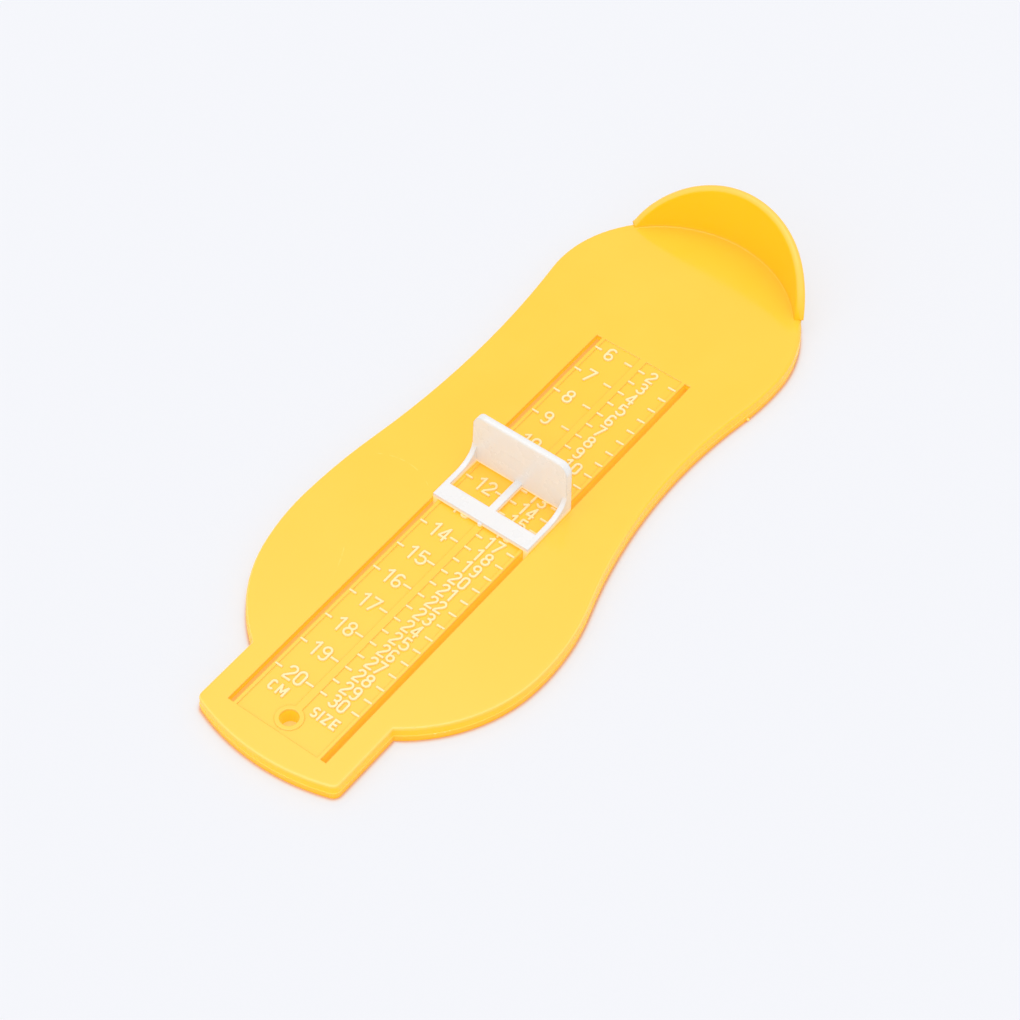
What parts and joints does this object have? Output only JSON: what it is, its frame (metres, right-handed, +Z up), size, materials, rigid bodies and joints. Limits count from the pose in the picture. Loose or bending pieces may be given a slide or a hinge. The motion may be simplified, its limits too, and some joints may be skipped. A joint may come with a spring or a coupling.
{
  "type": "foot measuring device",
  "caption": "Sole-shaped plastic plate with a curved heel stop, raised centimetre and size scales and a toe stop that slides along two slots to read a foot's length.",
  "frame": {"origin": "zero of the length scale on the ruler's centre line, in the plane that the plate lies on", "axes": "+X towards the centimetre scale's side, +Y along the ruler from the heel to the toes, so Y is the length that is read, +Z up out of the deck"},
  "size_m": [0.0875, 0.2259, 0.0253],
  "materials": {
    "plate": "satin moulded",
    "marks": "satin moulded",
    "slider": "satin moulded"
  },
  "bodies": {
    "gauge": {"sole_plate": "plate", "heel_stop": "plate", "cm_lines": "marks", "cm_figures": "marks", "size_lines": "marks", "size_figures": "marks", "unit_letters": "marks"},
    "slider": {"slider_frame": "slider", "toe_stop": "slider"}
  },
  "joints": [
    {"name": "toe_slide", "type": "slide", "parent": "gauge", "child": "slider", "axis": [0, 1, 0], "range_m": [-0.0561, 0.0839]}
  ]
}
